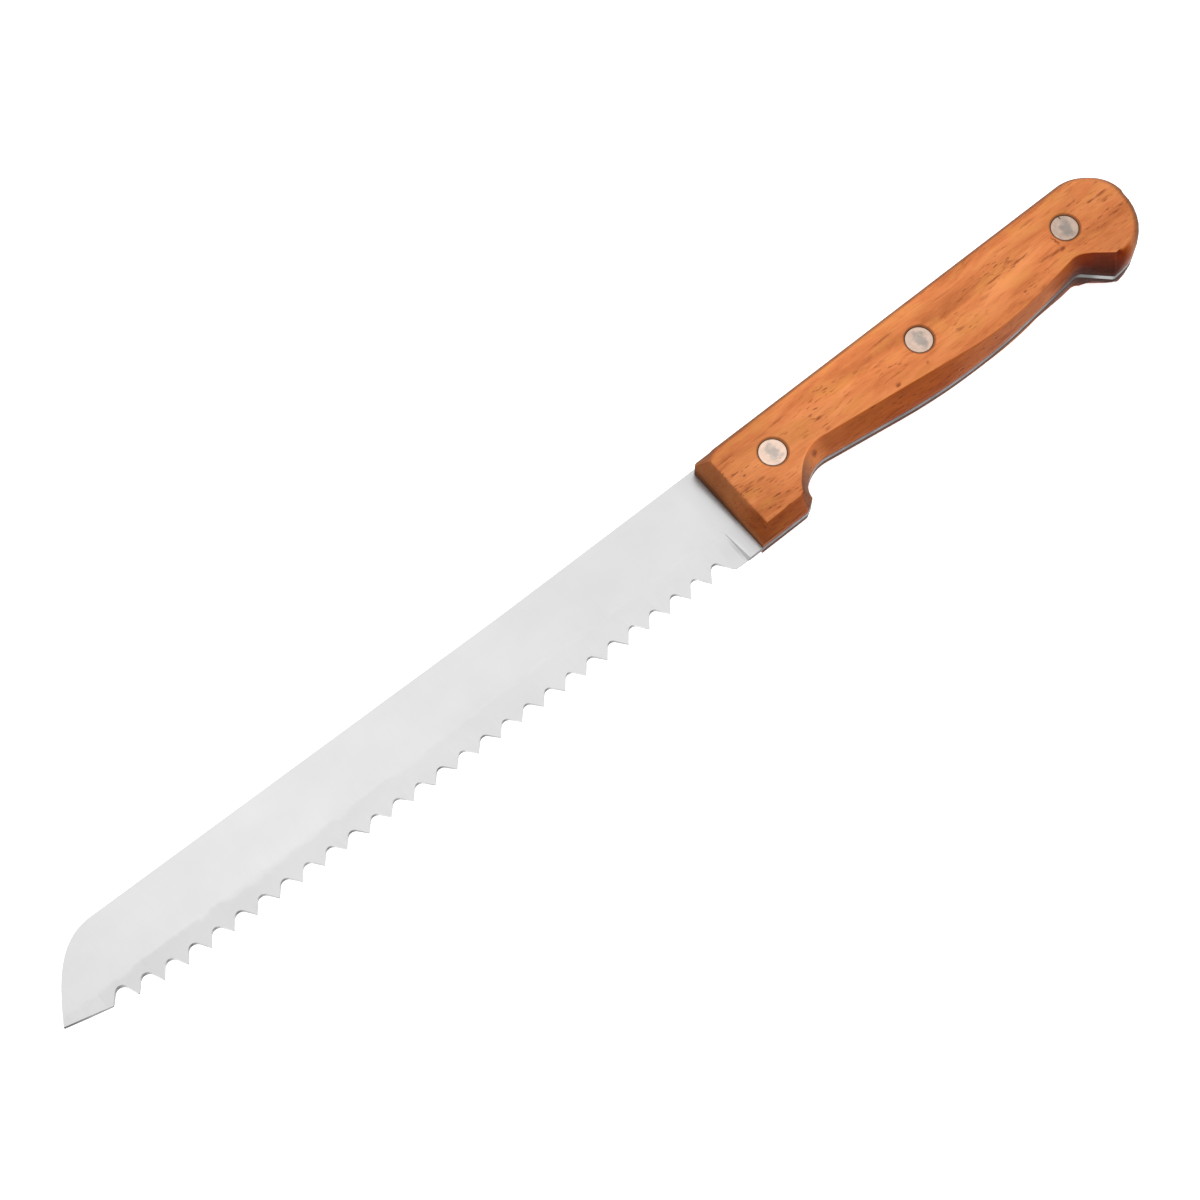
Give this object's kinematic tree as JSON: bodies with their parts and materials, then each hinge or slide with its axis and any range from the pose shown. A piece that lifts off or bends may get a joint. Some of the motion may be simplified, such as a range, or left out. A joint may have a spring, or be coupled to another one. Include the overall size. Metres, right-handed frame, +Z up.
{
  "type": "bread knife",
  "caption": "Bread knife with a scalloped stainless blade, a full tang and a bevelled wooden handle held by compression rivets.",
  "frame": {"origin": "middle of the bounding box in X and Y, on the surface that the knife lies on", "axes": "+Z up, square to the blade and out of its left side; +X along the knife from the point to the butt; +Y from the edge to the spine"},
  "size_m": [0.3332, 0.0298, 0.016],
  "materials": {
    "blade_steel": "satin ground, fine lines across the blade",
    "handle_wood": "oiled, reddish brown, open fine grain along the handle",
    "rivet_metal": "turned and sanded flush"
  },
  "bodies": {
    "root": {"blade": "blade_steel", "left_scale": "handle_wood", "right_scale": "handle_wood", "front_rivet_sleeve": "rivet_metal", "middle_rivet_sleeve": "rivet_metal", "rear_rivet_sleeve": "rivet_metal", "front_rivet_pin": "rivet_metal", "middle_rivet_pin": "rivet_metal", "rear_rivet_pin": "rivet_metal"}
  },
  "joints": []
}
